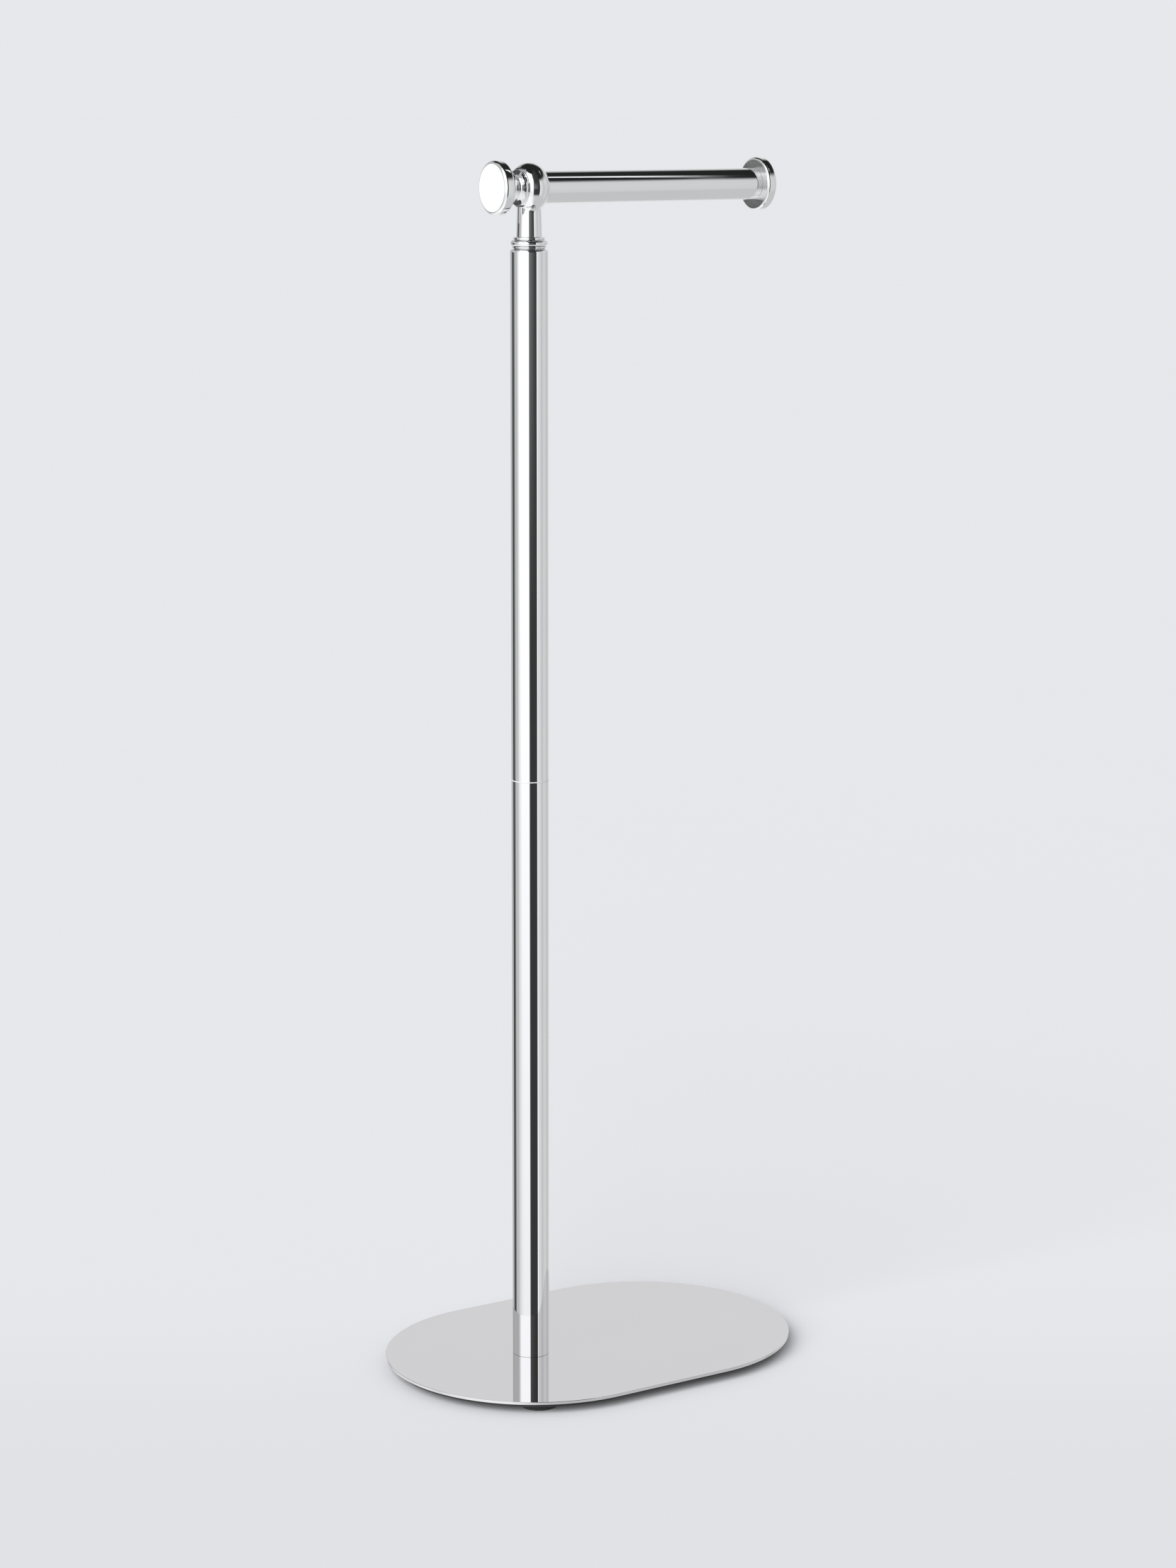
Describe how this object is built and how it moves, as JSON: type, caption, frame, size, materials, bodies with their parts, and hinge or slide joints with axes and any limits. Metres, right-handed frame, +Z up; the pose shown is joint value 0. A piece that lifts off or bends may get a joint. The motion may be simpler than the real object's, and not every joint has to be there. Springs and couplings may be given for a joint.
{
  "type": "freestanding toilet paper holder",
  "caption": "Freestanding toilet paper holder: round post on a flat racetrack base with rubber feet, and a head that swivels on it, with a knob, a flattened ball and a level arm.",
  "frame": {"origin": "on the floor under the middle of the base, the middle of the bounding box's underside", "axes": "+Z up the post, +X along the base and along the arm at rest, +Y across the base"},
  "size_m": [0.224, 0.157, 0.623],
  "materials": {
    "polished_chrome": "bright polished chrome plate",
    "polished_plate": "mirror polished",
    "black_enamel": "semi-matt black enamel",
    "foot_rubber": "matt black rubber",
    "zinc_plated_steel": "bright zinc plate",
    "washer_steel": "fine turned steel",
    "white_plastic": "plain moulded nylon"
  },
  "bodies": {
    "stand": {"base_plate": "polished_plate", "weight_plate": "black_enamel", "foot_front_left": "foot_rubber", "foot_front_right": "foot_rubber", "foot_rear_left": "foot_rubber", "foot_rear_right": "foot_rubber", "base_bolt": "zinc_plated_steel", "lower_tube": "polished_chrome", "insert_foot": "zinc_plated_steel", "insert_lower_top": "zinc_plated_steel", "joining_stud": "zinc_plated_steel", "seam_washer": "white_plastic", "insert_upper_foot": "zinc_plated_steel", "upper_tube": "polished_chrome", "insert_head": "zinc_plated_steel", "pivot_pin": "zinc_plated_steel", "swivel_washer": "washer_steel"},
    "head": {"bead_ring": "polished_chrome", "neck": "polished_chrome", "neck_screw": "zinc_plated_steel", "ball": "polished_chrome", "arm_tube": "polished_chrome", "arm_insert": "zinc_plated_steel", "tie_stud": "zinc_plated_steel", "knob": "polished_chrome", "end_cap": "polished_chrome"}
  },
  "joints": [
    {"name": "head_swivel", "type": "hinge", "parent": "stand", "child": "head", "pos_m": [-0.0365, 0, 0.5795], "axis": [0, 0, 1], "continuous": true}
  ]
}
